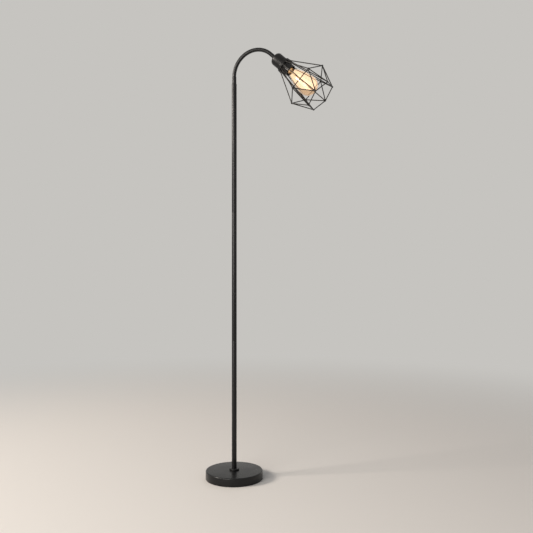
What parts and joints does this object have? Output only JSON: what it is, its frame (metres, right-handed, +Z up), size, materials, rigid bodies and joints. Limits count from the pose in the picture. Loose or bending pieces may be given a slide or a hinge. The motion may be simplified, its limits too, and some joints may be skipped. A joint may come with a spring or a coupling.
{
  "type": "floor lamp",
  "caption": "Floor lamp with a round weighted base, straight pole, bent swivelling arm and a tilted screw lampholder whose pear bulb sits in an open cage of straight wires.",
  "frame": {"origin": "centre of the base's underside, on the floor", "axes": "+Z up along the pole; +X from the pole towards the lampholder; +Y to the left of +X"},
  "size_m": [0.5058, 0.22, 1.6522],
  "materials": {
    "black_steel": "satin black powder coat",
    "cast_weight": "rough, dull",
    "rubber_pad": "matte",
    "black_rubber": "matte",
    "zinc_steel": "zinc plated",
    "black_resin": "satin moulded",
    "white_ceramic": "unglazed porcelain",
    "plain_brass": "plain",
    "nickel_cap": "plain",
    "black_glass": "glossy",
    "amber_glass": "clear, amber tinted",
    "clear_glass": "clear",
    "nickel_wire": "drawn wire",
    "filament": "lit, warm white"
  },
  "bodies": {
    "stand": {"base_cover": "black_steel", "base_weight": "cast_weight", "base_pad": "rubber_pad", "cord_grommet": "black_rubber", "base_nipple": "zinc_steel", "base_washer": "zinc_steel", "lock_washer": "zinc_steel", "base_nut": "zinc_steel", "pole_foot": "black_steel", "pole_lower": "black_steel", "pole_middle": "black_steel", "pole_upper": "black_steel", "pole_inserts": "zinc_steel", "joint_nipples": "zinc_steel", "swivel_bush": "black_steel"},
    "arm": {"arm_tube": "black_steel", "arm_ferrule": "black_steel", "arm_stop_ring": "zinc_steel", "arm_insert": "zinc_steel", "head_nipple": "zinc_steel", "holder_cap": "black_steel", "holder_dome": "black_resin", "holder_skirt": "black_resin", "holder_insulator": "white_ceramic", "thread_shell": "plain_brass", "centre_contact": "plain_brass", "terminal_screws": "zinc_steel"},
    "cage": {"cage_collar": "black_steel", "cage_spokes": "black_steel", "cage_long_wires": "black_steel", "cage_waist_ring": "black_steel", "cage_mouth_ring": "black_steel", "cage_diagonals": "black_steel", "cage_welds": "black_steel"},
    "ring": {"shade_ring": "black_resin"},
    "bulb": {"bulb_shell": "nickel_cap", "bulb_insulator": "black_glass", "bulb_contact": "plain_brass", "bulb_glass": "amber_glass", "bulb_stem": "clear_glass", "bulb_frame": "nickel_wire", "bulb_filaments": "filament"}
  },
  "joints": [
    {"name": "arm_swivel", "type": "hinge", "parent": "stand", "child": "arm", "pos_m": [0, 0, 1.5245], "axis": [0, 0, 1], "range_deg": [-175, 175]},
    {"name": "cage_turn", "type": "hinge", "parent": "arm", "child": "cage", "pos_m": [0.20803, 0, 1.57212], "axis": [0.7431, 0, -0.6691], "range_deg": [-180, 180]},
    {"name": "ring_unscrew", "type": "slide", "parent": "arm", "child": "ring", "axis": [0.7431, 0, -0.6691], "range_m": [0, 0.028]},
    {"name": "bulb_unscrew", "type": "slide", "parent": "arm", "child": "bulb", "axis": [0.7431, 0, -0.6691], "range_m": [0, 0.2]}
  ]
}
